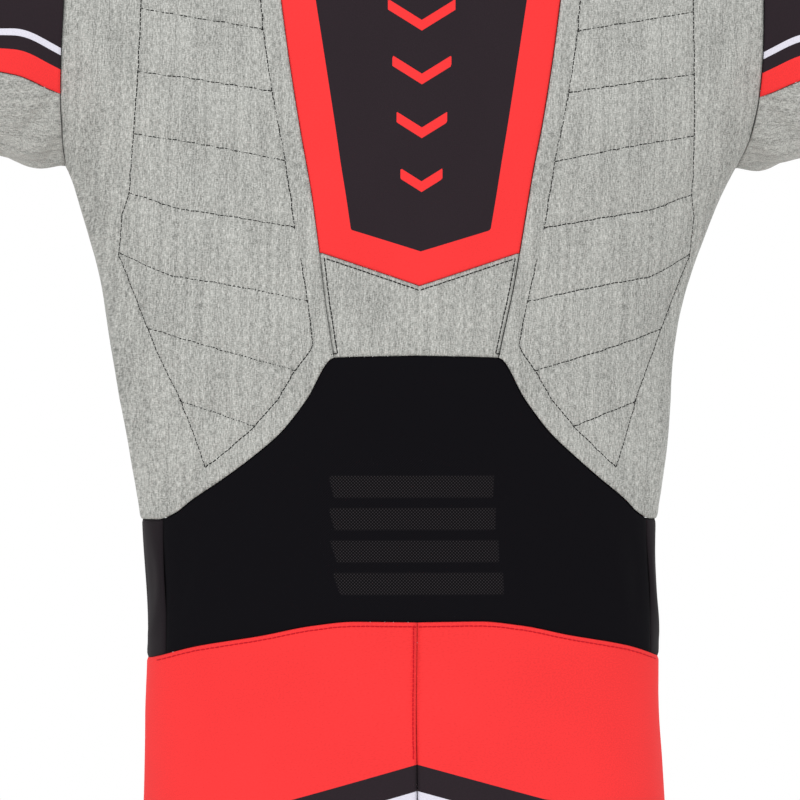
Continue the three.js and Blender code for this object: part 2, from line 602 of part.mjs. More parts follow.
// A plate with rounded ends that lies on the zip: from is its upper end, under the slider's top.
function zipPlate(from, { wide, long, thick }) {
  const level = zipTop - SLIDER.below;
  const foot = zipPoint(0, level);
  const up = zipPoint(0, level + 2).sub(zipPoint(0, level - 2)).normalize();
  const right = new THREE.Vector3(1, 0, 0);
  const corner = wide / 4;
  const shape = new THREE.Shape();
  shape.moveTo(-wide / 2 + corner, -from);
  shape.lineTo(wide / 2 - corner, -from);
  shape.lineTo(wide / 2, -from - corner);
  shape.lineTo(wide / 2, -from - long + corner);
  shape.lineTo(wide / 2 - corner, -from - long);
  shape.lineTo(-wide / 2 + corner, -from - long);
  shape.lineTo(-wide / 2, -from - long + corner);
  shape.lineTo(-wide / 2, -from - corner);
  shape.closePath();
  const geometry = new THREE.ExtrudeGeometry(shape, { depth: thick, bevelEnabled: false });
  geometry.translate(0, 0, ZIP.proud + HALF_GAP * 2 + 0.2);
  const basis = new THREE.Matrix4().makeBasis(right, up, right.clone().cross(up));
  geometry.applyMatrix4(basis.setPosition(foot));
  return geometry;
}

addPiece('zip_slider', zipPlate(-SLIDER.long / 2, SLIDER), METAL);
addPiece('zip_pull', zipPlate(SLIDER.long / 2 + 2 * HALF_GAP, PULL), BLACK);

export default suit;
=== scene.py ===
# A one-piece karting suit, filled out as worn with the arms level, seen from behind.
# It is built in the order a maker sews it: back, waist, front, collar, sleeves, legs, zip.
import math
import bpy
import numpy as np
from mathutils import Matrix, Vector


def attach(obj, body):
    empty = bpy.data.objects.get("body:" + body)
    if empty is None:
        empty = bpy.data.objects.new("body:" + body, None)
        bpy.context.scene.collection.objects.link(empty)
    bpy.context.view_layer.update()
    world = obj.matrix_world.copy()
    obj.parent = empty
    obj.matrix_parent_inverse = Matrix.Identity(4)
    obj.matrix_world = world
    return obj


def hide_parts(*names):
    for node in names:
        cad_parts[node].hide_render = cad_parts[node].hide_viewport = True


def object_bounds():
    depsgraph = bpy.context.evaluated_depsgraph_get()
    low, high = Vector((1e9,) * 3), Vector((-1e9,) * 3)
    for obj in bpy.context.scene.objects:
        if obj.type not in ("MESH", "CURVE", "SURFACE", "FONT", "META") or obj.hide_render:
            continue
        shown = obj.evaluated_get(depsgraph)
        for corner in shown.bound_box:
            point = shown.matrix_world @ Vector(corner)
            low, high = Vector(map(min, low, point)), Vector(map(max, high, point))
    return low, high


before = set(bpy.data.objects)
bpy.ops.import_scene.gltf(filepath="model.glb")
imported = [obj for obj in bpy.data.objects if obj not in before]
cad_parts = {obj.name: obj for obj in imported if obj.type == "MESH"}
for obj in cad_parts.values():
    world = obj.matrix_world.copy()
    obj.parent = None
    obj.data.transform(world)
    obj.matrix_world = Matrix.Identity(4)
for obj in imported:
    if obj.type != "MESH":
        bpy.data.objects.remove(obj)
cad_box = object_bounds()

MM = 0.001

# ---- Room and camera --------------------------------------------------------------------------
# A white studio: a pale floor under the hems, broad soft lights all round, and a long lens
# that looks level at the small of the back, a little from the wearer's left.
CAMERA_TURN = math.radians(172.5)
CAMERA_FAR = 6.0
FRAME_WIDTH = 576 * MM
aim = Vector((0.72 * MM, 0, -392.8 * MM))
back_axis = Vector((math.sin(CAMERA_TURN), -math.cos(CAMERA_TURN), 0))
camera_data = bpy.data.cameras.new("camera")
camera_data.sensor_width = 36
camera_data.lens = 36 * CAMERA_FAR / FRAME_WIDTH
camera = bpy.data.objects.new("camera", camera_data)
camera.location = aim + back_axis * CAMERA_FAR
camera.rotation_euler = (math.pi / 2, 0, CAMERA_TURN)
bpy.context.scene.collection.objects.link(camera)
bpy.context.scene.camera = camera
bpy.context.scene.view_settings.view_transform = "Standard"


def linear(hex_colour):
    """An sRGB hex value as the linear colour that shaders take."""
    parts = [int(hex_colour[i:i + 2], 16) / 255 for i in (1, 3, 5)]
    return [c / 12.92 if c <= 0.04045 else ((c + 0.055) / 1.055) ** 2.4 for c in parts] + [1]


def node(tree, kind, settings=(), links=()):
    """Adds one node, sets its properties and sockets, and links sockets of others into it."""
    made = tree.nodes.new(kind)
    for name, value in dict(settings).items():
        if hasattr(made, name):
            setattr(made, name, value)
        else:
            made.inputs[name].default_value = value
    for name, source in dict(links).items():
        tree.links.new(source, made.inputs[name])
    return made


def fresh_material(name):
    material = bpy.data.materials.new(name)
    material.use_nodes = True
    material.node_tree.nodes.clear()
    return material, material.node_tree


def deselect():
    for other in bpy.context.selected_objects:
        other.select_set(False)


world = bpy.data.worlds.new("studio")
world.use_nodes = True
world.node_tree.nodes["Background"].inputs[0].default_value = (1, 1, 1, 1)
world.node_tree.nodes["Background"].inputs[1].default_value = 1.0
bpy.context.scene.world = world


def soft_light(name, place, size, power):
    data = bpy.data.lights.new(name, "AREA")
    data.size = size
    data.energy = power
    lamp = bpy.data.objects.new(name, data)
    lamp.location = place
    lamp.rotation_euler = (aim - Vector(place)).to_track_quat("-Z", "Y").to_euler()
    bpy.context.scene.collection.objects.link(lamp)


soft_light("key_behind", (1.2, 3.2, 0.9), 1.6, 28)
soft_light("fill_front", (-1.0, -3.2, 0.6), 2.0, 22)

FLOOR_DROP = 0.06
FLOOR_Z = cad_box[0][2] - FLOOR_DROP
deselect()
bpy.ops.mesh.primitive_grid_add(x_subdivisions=4, y_subdivisions=4, size=8, location=(0, 0, FLOOR_Z))
floor = bpy.context.object
floor.name = "floor"
material, tree = fresh_material("pale_painted_floor")
shade = node(tree, "ShaderNodeBsdfPrincipled", {"Base Color": linear("#F4F4F2"), "Roughness": 0.9})
node(tree, "ShaderNodeOutputMaterial", links={"Surface": shade.outputs[0]})
floor.data.materials.append(material)

# ---- The form that the cloth lies on ----------------------------------------------------------
# The same level sections as the CAD, in millimetres: half width, the leg's inner side, depths
# behind and in front, and how the stance leans and turns them.
ROUNDNESS = 2.3
ARM_Z, ARMPIT_Z, ARCH = -110, -223, 150
SHOULDER = ARM_Z + ARCH
SHOULDER_TOP, SHOULDER_FALL = 23.5, 0.1534
NECK_HALF, NECK_BACK, NECK_FRONT = 75, 62, 80
ZIP_EDGE = 14
GAP = 0.15
SECTIONS = np.array([
    # z,   half, inside, back, front, lean, turn
    (-110, 330, -330, 112, 118, 0, 0),
    (-150, 300, -300, 113, 122, 0, 0),
    (-190, 268, -268, 113, 124, 0, 0),
    (-223, 243, -243, 111, 122, 0, 0),
    (-255, 229, -229, 108, 119, 1.5, 1),
    (-307, 213, -213, 103, 114, 3.6, 2),
    (-360, 202.5, -202.5, 98, 110, 5.2, 2.3),
    (-430, 192.7, -192.7, 90, 106, 1.8, 1.1),
    (-484, 185.5, -185.5, 87, 104, 1, -0.5),
    (-550, 184.6, -184.6, 92, 104, -2, -1.5),
    (-585, 184.5, -184.5, 99, 104, -1.5, -1.8),
    (-620, 184.8, -153, 107, 104, -0.7, -2),
    (-655, 186.2, -112, 115, 103, -1.2, -2.3),
    (-690, 188, -72, 119, 102, -1.8, -2.5),
    (-720, 189.5, -34, 118, 101, -1.8, -2.5),
    (-740, 190, -12, 116, 100, -1.8, -2.5),
    (-755, 190.5, 0.5, 114, 99, -1.8, -2.5),
    (-800, 191, 7, 106, 96, -1.8, -2.5),
    (-900, 193, 18, 98, 91, -1.8, -2.5),
    (-1000, 194, 30, 91, 85, -1.8, -2.5),
    (-1080, 193, 39, 81, 84, -1.8, -2.5),
    (-1180, 195, 48, 84, 72, -1.8, -2.5),
    (-1300, 192, 60, 74, 62, -1.8, -2.5),
    (-1400, 189, 73, 64, 56, -1.8, -2.5),
    (-1460, 185, 79, 59, 52, -1.8, -2.5),
])


def through(keys, values):
    """A smooth curve through a short table that never overshoots it."""
    keys = np.array(keys, float)
    values = np.array(values, float)
    if keys[0] > keys[-1]:
        keys, values = keys[::-1], values[::-1]
    grade = np.diff(values) / np.diff(keys)
    slope = np.concatenate([grade[:1], np.zeros(len(grade) - 1), grade[-1:]])
    before, after = grade[:-1], grade[1:]
    same = before * after > 0
    slope[1:-1][same] = 2 * before[same] * after[same] / (before + after)[same]

    def at(place):
        place = np.clip(np.asarray(place, float), keys[0], keys[-1])
        row = np.clip(np.searchsorted(keys, place) - 1, 0, len(grade) - 1)
        span = keys[row + 1] - keys[row]
        f = (place - keys[row]) / span
        ease = f * f * (3 - 2 * f)
        bend = f * (1 - f) * (1 - f) * slope[row] - f * f * (1 - f) * slope[row + 1]
        return values[row] + (values[row + 1] - values[row]) * ease + span * bend
    return at


half_at, inside_at, back_at, front_at, lean_at, turn_at = (
    through(SECTIONS[:, 0], SECTIONS[:, k]) for k in range(1, 7))
QUARTER = math.pi / 2


def power(value, exponent):
    return np.sign(value) * np.abs(value) ** exponent


def smooth(f):
    f = np.clip(f, 0, 1)
    return f * f * (3 - 2 * f)


def stance(x, y, z):
    turn = np.radians(turn_at(z))
    return np.stack([
        lean_at(z) + x * np.cos(turn) - y * np.sin(turn), x * np.sin(turn) + y * np.cos(turn), z], -1)


def body_point(turns, level):
    """The body's surface, turns being quarter turns from the middle of the back to the front."""
    z = np.minimum(level, ARM_Z)
    side = np.sin(turns * QUARTER)
    face = np.cos(turns * QUARTER)
    x = half_at(z) * power(side, 2 / ROUNDNESS)
    y = np.where(face >= 0, back_at(z), front_at(z)) * power(face, 2 / ROUNDNESS)
    angle = np.clip((level - ARM_Z) / ARCH, 0, 1) * QUARTER
    rise = SHOULDER_TOP - SHOULDER_FALL * np.abs(x) - ARM_Z
    arch = np.stack([x, y * np.cos(angle), ARM_Z + rise * np.sin(angle)], -1)
    return np.where((level > ARM_Z)[..., None], arch, stance(x, y, z))


def turns_of(share):
    return np.arcsin(power(np.clip(share, -1, 1), ROUNDNESS / 2)) / QUARTER


def back_turns(x, level):
    return turns_of(x / half_at(np.minimum(level, ARM_Z)))


def leg_point(side, turns, z):
    half, inside = half_at(z), inside_at(z)
    face = np.cos(turns * QUARTER)
    x = (half + inside) / 2 + (half - inside) / 2 * power(np.sin(turns * QUARTER), 2 / ROUNDNESS)
    y = np.where(face >= 0, back_at(z), front_at(z)) * power(face, 2 / ROUNDNESS)
    return stance(side * x, y, z)


def leg_turns(x, z):
    half, inside = half_at(z), inside_at(z)
    return turns_of((x - (half + inside) / 2) / ((half - inside) / 2))


def neck_level(x, front):
    depth = (front_at if front else back_at)(ARM_Z)
    body = depth * (1 - (np.abs(x) / half_at(ARM_Z)) ** ROUNDNESS) ** (1 / ROUNDNESS)
    hole = (NECK_FRONT if front else NECK_BACK) * np.sqrt(np.maximum(0, 1 - (x / NECK_HALF) ** 2))
    return ARM_Z + np.arccos(hole / body) / QUARTER * ARCH


MEET_PASSES = 14


def meet(edge_of_x, turns_at, start, u):
    """The level where each column of a panel meets an edge that is drawn by its x."""
    level = np.full_like(u, float(start))
    for _ in range(MEET_PASSES):
        side = np.abs(power(np.sin(turns_at(u, level) * QUARTER), 2 / ROUNDNESS))
        level = edge_of_x(half_at(np.minimum(level, ARM_Z)) * side)
    return level


# ---- Cloth ------------------------------------------------------------------------------------
# Every cut piece is a grid laid on the form, with its seam edges turned in, its creases pressed
# in, and then given the cloth's thickness. A crease is a soft trough or ridge between two places.
CLOTH = 1.3
TURNED_EDGE = 1.6
EDGE_DROP = 0.9


def crease(a, b, rows):
    """Adds up creases (a0, b0, a1, b1, width, height) at places (a, b) of a piece."""
    total = np.zeros_like(a)
    for a0, b0, a1, b1, width, height in rows:
        along_a, along_b = a1 - a0, b1 - b0
        length = math.hypot(along_a, along_b)
        share = ((a - a0) * along_a + (b - b0) * along_b) / length ** 2
        reach = np.clip(share, 0, 1)
        bow = 0.06 * length * np.sin(reach * math.pi)
        off = ((a - a0) * along_b - (b - b0) * along_a) / length - bow
        past = np.abs(share - reach) * length
        fade = 0.25 + 0.75 * np.sin(np.clip(reach, 0.02, 0.98) * math.pi)
        total += height * fade * np.exp(-(off / width) ** 2 - (past / width) ** 2)
    return total


def creased(rows):
    """A relief made of creases alone."""
    def relief(a, b):
        return crease(a, b, rows)
    return relief


def grid_normals(points):
    across_grid = np.gradient(points, axis=1)
    up_grid = np.gradient(points, axis=0)
    normal = np.cross(across_grid, up_grid)
    return normal / np.linalg.norm(normal, axis=-1, keepdims=True)


def lay_cloth(name, columns, rows, place, material, relief=None, prints=None, held="hung",
              ring=False):
    """Lays a piece on the form. place(u, v) gives points and its own (a, b) cut coordinates in mm.
    relief(a, b) lifts it, and prints(a, b) gives the attribute its dye follows."""
    deselect()
    bpy.ops.mesh.primitive_grid_add(x_subdivisions=columns, y_subdivisions=rows, size=1)
    piece = bpy.context.object
    piece.name = f"{name}_cloth"
    mesh = piece.data
    u, v = np.meshgrid(np.linspace(0, 1, columns + 1), np.linspace(0, 1, rows + 1))
    points, a, b = place(u, v)
    normals = grid_normals(points)
    wide = np.linalg.norm(np.diff(points, axis=1), axis=-1)
    tall = np.linalg.norm(np.diff(points, axis=0), axis=-1)
    width_run = np.concatenate([np.zeros((rows + 1, 1)), np.cumsum(wide, axis=1)], 1)
    height_run = np.concatenate([np.zeros((1, columns + 1)), np.cumsum(tall, axis=0)], 0)
    edge = np.minimum(height_run, height_run[-1:] - height_run)
    if not ring:
        edge = np.minimum(edge, np.minimum(width_run, width_run[:, -1:] - width_run))
    lift = -EDGE_DROP * np.exp(-(edge / TURNED_EDGE) ** 2)
    if relief is not None:
        lift = lift + relief(a, b)
    points = points + normals * lift[..., None]
    mesh.vertices.foreach_set("co", (points * MM).reshape(-1))
    uv = mesh.uv_layers.active.data
    loops = np.empty(len(mesh.loops), np.int32)
    mesh.loops.foreach_get("vertex_index", loops)
    flat = np.stack([a, b], -1).reshape(-1, 2)[loops]
    uv.foreach_set("uv", (flat * MM).reshape(-1))
    layer = mesh.attributes.new("dye", "FLOAT", "POINT")
    layer.data.foreach_set("value", (prints(a, b) if prints else a * 0).astype(np.float32).reshape(-1))
    mesh.update()
    wall = piece.modifiers.new("wall", "SOLIDIFY")
    wall.thickness = CLOTH * MM
    wall.offset = -1
    bpy.ops.object.modifier_apply(modifier="wall")
    bpy.ops.object.shade_smooth()
    mesh.materials.append(material)
    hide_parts(name)
    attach(piece, "root")
    if held == "moulded":
        return


STITCH_PITCH, STITCH_HALF_WIDTH, STITCH_LIFT, STITCH_DIP = 3.3, 0.4, 0.3, 0.3
STITCH_SHOULDER, STITCH_FLATNESS = 0.32, 0.8
STITCH_SEED = 7


def threads(name, lines, colour_material, on_surface, wobble=0.25):
    """A row of lockstitches along each line of (a, b) points, lying on the cloth.
    A stitch is a four-sided bead whose two tips dip into the cloth."""
    ring = ((1, 0), (0, 1), (-1, 0), (0, -1))
    template = np.array([(-0.5, 0, -STITCH_DIP)] + [
        (end * STITCH_SHOULDER, STITCH_HALF_WIDTH * across, STITCH_HALF_WIDTH * STITCH_FLATNESS * up)
        for end in (-1, 1) for across, up in ring] + [(0.5, 0, -STITCH_DIP)])
    faces = [(0, 2, 1), (0, 3, 2), (0, 4, 3), (0, 1, 4), (9, 5, 6), (9, 6, 7), (9, 7, 8), (9, 8, 5)]
    faces += [(1 + k, 1 + (k + 1) % 4, 5 + (k + 1) % 4, 5 + k) for k in range(4)]
    verts, polys = [], []
    draw = np.random.default_rng(STITCH_SEED)
    for line in lines:
        line = np.array(line, float)
        run = np.concatenate([[0], np.cumsum(np.linalg.norm(np.diff(line, axis=0), axis=1))])
        count = max(1, int(run[-1] / STITCH_PITCH))
        marks = (np.arange(count + 1)) / count * run[-1]
        a = np.interp(marks, run, line[:, 0]) + draw.normal(0, wobble, count + 1)
        b = np.interp(marks, run, line[:, 1]) + draw.normal(0, wobble, count + 1)
        spots, outs = on_surface(a, b)
        for k in range(count):
            start, end = spots[k], spots[k + 1]
            forward = end - start
            out = (outs[k] + outs[k + 1]) / 2
            sideways = np.cross(out, forward)
            sideways /= np.linalg.norm(sideways) + 1e-9
            middle = (start + end) / 2 + out * STITCH_LIFT
            base = len(verts)
            verts.extend(middle + template[i, 0] * forward + template[i, 1] * sideways
                         + template[i, 2] * out for i in range(len(template)))
            polys.extend(tuple(base + i for i in face) for face in faces)
    mesh = bpy.data.meshes.new(name)
    mesh.from_pydata([tuple(p * MM) for p in verts], [], polys)
    mesh.materials.append(colour_material)
    made = bpy.data.objects.new(name, mesh)
    bpy.context.scene.collection.objects.link(made)
    for polygon in mesh.polygons:
        polygon.use_smooth = True
    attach(made, "root")


# ---- Cloths and thread ------------------------------------------------------------------------
# Melange: a light polyester shell woven from white, pale and dark grey yarns about half a
# millimetre thick. The eye sees uneven upright streaks and a fine twill; yarns are drawn 1 mm.
def cut_coordinates(tree, across_mm, along_mm):
    """The piece's own cut coordinates, one unit every so many millimetres each way."""
    uv = node(tree, "ShaderNodeUVMap")
    scale = (1000 / across_mm, 1000 / along_mm, 1)
    return node(tree, "ShaderNodeMapping", {"Scale": scale}, {"Vector": uv.outputs[0]}).outputs[0]


def blend_by(tree, share, first, second, kind="MIX"):
    mixer = node(tree, "ShaderNodeMixRGB", {"blend_type": kind})
    for socket, value in (("Fac", share), ("Color1", first), ("Color2", second)):
        if hasattr(value, "is_linked"):
            tree.links.new(value, mixer.inputs[socket])
        else:
            mixer.inputs[socket].default_value = value
    return mixer.outputs[0]


def ramp(tree, source, stops, kind="LINEAR"):
    made = node(tree, "ShaderNodeValToRGB", links={"Fac": source})
    made.color_ramp.interpolation = kind
    elements = made.color_ramp.elements
    while len(elements) < len(stops):
        elements.new(0.5)
    for element, (place, colour) in zip(elements, stops):
        element.position = place
        element.color = linear(colour) if isinstance(colour, str) else (colour, colour, colour, 1)
    return made.outputs[0]


WEAVE_BUMP, WEAVE_HEIGHT = 0.6, 0.12


def cloth_shader(tree, colour, height, roughness, sheen, gloss=0.1):
    bumped = node(tree, "ShaderNodeBump", {"Strength": WEAVE_BUMP, "Distance": WEAVE_HEIGHT * MM},
                  {"Height": height})
    shader = node(tree, "ShaderNodeBsdfPrincipled", {
        "Roughness": roughness, "Sheen Weight": sheen, "Sheen Roughness": 0.5, "Specular IOR Level": gloss,
    }, {"Base Color": colour, "Normal": bumped.outputs[0]})
    node(tree, "ShaderNodeOutputMaterial", links={"Surface": shader.outputs[0]})


def melange():
    material, tree = fresh_material("melange_woven_polyester")
    yarn = node(tree, "ShaderNodeTexNoise", {"Scale": 1.0, "Detail": 2.0, "Roughness": 0.7},
                {"Vector": cut_coordinates(tree, 0.9, 4.5)})
    weft = node(tree, "ShaderNodeTexNoise", {"Scale": 1.0, "Detail": 2.0, "Roughness": 0.8},
                {"Vector": cut_coordinates(tree, 1.6, 0.9)})
    streak = node(tree, "ShaderNodeTexNoise", {"Scale": 1.0, "Detail": 1.0},
                  {"Vector": cut_coordinates(tree, 3.5, 60)})
    cloud = node(tree, "ShaderNodeTexNoise", {"Scale": 1.0, "Detail": 2.0},
                 {"Vector": cut_coordinates(tree, 35, 50)})
    fine = ramp(tree, yarn.outputs["Fac"], [(0.36, "#3A3B39"), (0.47, "#989995"), (0.64, "#EAEAE6")])
    cross = ramp(tree, weft.outputs["Fac"], [(0.36, "#444543"), (0.5, "#9E9F9B"), (0.64, "#E6E6E2")])
    colour = blend_by(tree, 0.5, fine, cross)
    long = ramp(tree, streak.outputs["Fac"], [(0.36, "#7C7D79"), (0.64, "#BCBDB8")])
    colour = blend_by(tree, 0.3, colour, long)
    haze = ramp(tree, cloud.outputs["Fac"], [(0.36, "#8A8B87"), (0.64, "#B0B1AC")])
    colour = blend_by(tree, 0.18, colour, haze)
    cloth_shader(tree, colour, yarn.outputs["Fac"], 0.85, 0.05)
    return material


# Sublimation-printed microfibre: dye in a smooth plain weave, so edges are crisp and the face
# is matt with a slight bloom. dye runs in millimetres between low and high.
def printed(name, low, high, stops):
    material, tree = fresh_material(name)
    dye = node(tree, "ShaderNodeAttribute", {"attribute_name": "dye"})
    place = node(tree, "ShaderNodeMapRange", {"From Min": low, "From Max": high},
                 {"Value": dye.outputs["Fac"]})
    spans = [((at - low) / (high - low), colour) for at, colour in stops]
    colour = ramp(tree, place.outputs[0], spans, "CONSTANT")
    weave = node(tree, "ShaderNodeTexNoise", {"Scale": 1.0, "Detail": 2.0},
                 {"Vector": cut_coordinates(tree, 0.9, 0.9)})
    cloud = node(tree, "ShaderNodeTexNoise", {"Scale": 1.0, "Detail": 2.0},
                 {"Vector": cut_coordinates(tree, 60, 90)})
    speck = ramp(tree, weave.outputs["Fac"], [(0.3, 0.86), (0.7, 1.0)])
    broad = ramp(tree, cloud.outputs["Fac"], [(0.3, 0.94), (0.7, 1.0)])
    colour = blend_by(tree, 1.0, colour, speck, "MULTIPLY")
    colour = blend_by(tree, 1.0, colour, broad, "MULTIPLY")
    cloth_shader(tree, colour, weave.outputs["Fac"], 0.8, 0.02, 0.06)
    return material


def plain_cloth(name, colour):
    """The same cloth in one colour all over."""
    return printed(name, -5, 5, [(-5, colour), (4.9, colour)])


def spun_thread(name, colour):
    material, tree = fresh_material(name)
    place = node(tree, "ShaderNodeTexCoord")
    ply = node(tree, "ShaderNodeTexNoise", {"Scale": 1800.0}, {"Vector": place.outputs["Object"]})
    tone = node(tree, "ShaderNodeRGB").outputs[0]
    tone.default_value = linear(colour)
    cloth_shader(tree, tone, ply.outputs["Fac"], 0.7, 0.0)
    return material


BLACK_DYE, RED_DYE, WHITE_DYE = "#2D252A", "#FA3B3C", "#E3E1EE"
grey_melange = melange()
black_thread = spun_thread("black_polyester_thread", "#121113")
crimson_thread = spun_thread("crimson_polyester_thread", "#C81628")

# ---- Printed middle panel ---------------------------------------------------------------------
# One dyed panel: a black field in a red border that ends in an arrow, with four plain red
# chevrons down its middle. It is let in between the two side panels.
SEAM_FOOT = -363
SEAM_X = through([SEAM_FOOT, -316, -285, -235, -200, -150, -105, 40],
                 [59.3, 68, 72.5, 80, 86.5, 94.5, 100.5, 118])
LUMBAR_TOP = through([0, 59.3, 79, 97, 116, 136, 155, 168, 178, 190],
                     [-361.5, -363, -393, -416, -433, -449, -463, -474, -478, -478])
WAIST_MIDDLE = -550.5
WAIST = through([0, 45, 75, 110, 155, 190], [WAIST_MIDDLE, -550, -553, -560, -568, -579])
TIE_TIP, TIE_SHOULDER_X, TIE_SHOULDER_Z = -312.2, 70.2, -289
FIELD_HALF, FIELD_LEVEL, FIELD_SLOPE, FIELD_SLANT = 50, -272.5, 0.156, 1.012
FIELD_FOOT, FOOT_SLOPE, FOOT_SLANT = -287.7, 0.304, 1.045
CHEVRON_TOP, CHEVRON_PITCH, CHEVRON_STROKE, CHEVRON_REACH = -128, 38, 3.2, 24
CHEVRONS, CHEVRON_SLOPE, CHEVRON_SLANT, CHEVRON_TAPER = 4, 0.62, 1.18, 3


def tie_edge(x):
    return TIE_TIP + (TIE_SHOULDER_Z - TIE_TIP) * np.minimum(1, np.abs(x) / TIE_SHOULDER_X)


def centre_turns(u, level):
    return back_turns((1 - 2 * u) * (SEAM_X(level) - GAP), level)


def above_tie_edge(x):
    return tie_edge(x) + GAP


def below_tie_edge(x):
    return tie_edge(x) - GAP


def above_lumbar(x):
    return LUMBAR_TOP(x) + GAP


def back_neck(x):
    return neck_level(np.minimum(x, NECK_HALF), False)


def back_centre_place(u, v):
    bottom = meet(above_tie_edge, centre_turns, TIE_TIP, u)
    top = meet(back_neck, centre_turns, 0, u) - 2 * GAP
    level = bottom + (top - bottom) * v
    x = (1 - 2 * u) * (SEAM_X(level) - GAP)
    return body_point(centre_turns(u, level), level), x, level


def tie_dye(x, z):
    """Millimetres into the black field, less than 0 in the red border and the chevrons."""
    side = (FIELD_HALF + FIELD_SLOPE * (z - FIELD_LEVEL) - np.abs(x)) / FIELD_SLANT
    foot = (z - (FIELD_FOOT + FOOT_SLOPE * np.abs(x))) / FOOT_SLANT
    field = np.minimum(side, foot)
    for k in range(CHEVRONS):
        rise = z - (CHEVRON_TOP - k * CHEVRON_PITCH) - CHEVRON_SLOPE * np.abs(x)
        stroke = np.abs(rise) / CHEVRON_SLANT - CHEVRON_STROKE
        mark = np.maximum(stroke, np.abs(x) - CHEVRON_REACH + CHEVRON_TAPER * k)
        field = np.minimum(field, mark)
    return field


tie_cloth = printed("sublimation_printed_microfibre_tie", -5, 5, [(-5, RED_DYE), (0, BLACK_DYE)])
TIE_CREASES = [(-20, -60, -8, -200, 14, 0.7), (34, -40, 28, -170, 12, -0.6)]
lay_cloth("back_centre", 150, 200, back_centre_place, prints=tie_dye, material=tie_cloth,
          relief=creased(TIE_CREASES))


# ---- Grey centre piece and quilted side panels ------------------------------------------------
# A plain melange piece fills in under the tie's arrow. The side panels are the same cloth quilted
# over thin wadding with single black rows, so each bay stands up a little between its rows. Long
# edges are turned under and topstitched.
def lower_place(u, v):
    bottom = meet(above_lumbar, centre_turns, SEAM_FOOT, u)
    top = meet(below_tie_edge, centre_turns, TIE_TIP, u)
    level = bottom + (top - bottom) * v
    return body_point(centre_turns(u, level), level), (1 - 2 * u) * SEAM_X(level), level


lay_cloth("back_lower_centre", 70, 40, lower_place, material=grey_melange)

QUILT_OUTER = [(197, -70), (197.5, -105), (199.5, -160), (201.5, -205), (203, -246), (207, -262),
               (207.5, -290), (196, -320), (185, -347), (165, -393), (154, -424), (148.5, -441)]
QUILT_INNER = [(117, -70), (115, -105), (112.5, -131), (106, -175), (96.3, -224), (89.5, -271), (79, -323),
               (74.2, -355.5), (86.5, -372), (99.2, -393), (115, -411.5), (133, -428), (148.5, -441)]
QUILT_ROWS = [
    [(112.4, -131), (155, -124), (197.8, -116.5)],
    [(106, -175), (155, -167), (199.5, -161)],
    [(96.3, -224), (150, -213), (201.5, -204.5)],
    [(89.5, -271), (130, -264), (171.5, -257), (203, -246)],
    [(79, -323), (125, -313), (174, -304.5), (192, -297), (207.5, -288)],
    [(86.5, -372), (140, -357), (187, -342)],
    [(115, -411.5), (142, -402), (166, -393.5)],
]
quilt_lines = [QUILT_OUTER, QUILT_INNER] + QUILT_ROWS


def line_distance(x, z, line):
    near = np.full(np.shape(x), 1e9)
    for (x0, z0), (x1, z1) in zip(line[:-1], line[1:]):
        span = (x1 - x0) ** 2 + (z1 - z0) ** 2
        f = np.clip(((x - x0) * (x1 - x0) + (z - z0) * (z1 - z0)) / span, 0, 1)
        near = np.minimum(near, np.hypot(x - x0 - f * (x1 - x0), z - z0 - f * (z1 - z0)))
    return near


SIDE_FORWARD, SIDE_EASE = 0.12, 70
SEAM_TURN = 0.0015
ARMHOLE = through([-223, -212, -200, -175, -150, -110], [243, 246.5, 249, 251.5, 252, 251])


def armhole_x(level):
    return ARMHOLE(np.minimum(level, ARM_Z))


def outer_turns(level, front):
    gap = SEAM_TURN if front else -SEAM_TURN
    low = 1 + SIDE_FORWARD * smooth((ARMPIT_Z - level) / SIDE_EASE) + gap
    high = back_turns(armhole_x(level) - GAP, level)
    return np.where(level < ARMPIT_Z, low, 2 - high if front else high)


def rows_through_armpit(bottom, top, v, share=0.5):
    """Levels up a body panel with a row at the armpit."""
    low = bottom + (ARMPIT_Z - bottom) * v / share
    high = ARMPIT_Z + (top - ARMPIT_Z) * (v - share) / (1 - share)
    return np.where(v <= share, low, high)


def side_turns(u, level):
    inner = back_turns(SEAM_X(level) + GAP, level)
    return inner + (outer_turns(level, False) - inner) * u


def panel_x(turns, level):
    return half_at(np.minimum(level, ARM_Z)) * power(np.sin(turns * QUARTER), 2 / ROUNDNESS)


SIDE_ARC = 120
PANEL_FOOT = -420


def cut_x(turns, level):
    """x across a piece's cut: as on the back up to the side, then on round the side."""
    x = panel_x(np.minimum(turns, 1), level)
    return x + np.maximum(turns - 1, 0) * SIDE_ARC


def back_side_place(side):
    def place(u, v):
        u = 1 - u if side > 0 else u
        bottom = meet(above_lumbar, side_turns, PANEL_FOOT, u)
        level = rows_through_armpit(bottom, SHOULDER - GAP, v)
        turns = side_turns(u, level)
        return body_point(side * turns, level), cut_x(turns, level), level
    return place


BACK_CREASES = [
    (238, -185, 205, -300, 9, 1.6), (228, -215, 190, -345, 12, -1.3), (243, -205, 214, -255, 6, 1.8),
    (215, -330, 188, -455, 10, 1.5), (200, -360, 172, -440, 8, -1.2), (240, -120, 225, -190, 8, 1.2),
    (190, -390, 184, -470, 6, 1.6), (130, -30, 205, -60, 16, 1.0), (222, -290, 205, -380, 7, -1.4),
]


QUILT_DIP, QUILT_GROOVE, QUILT_DEEPEST = 0.9, 1.3, -1.1
QUILT_RISE, QUILT_EASE = 0.9, 14


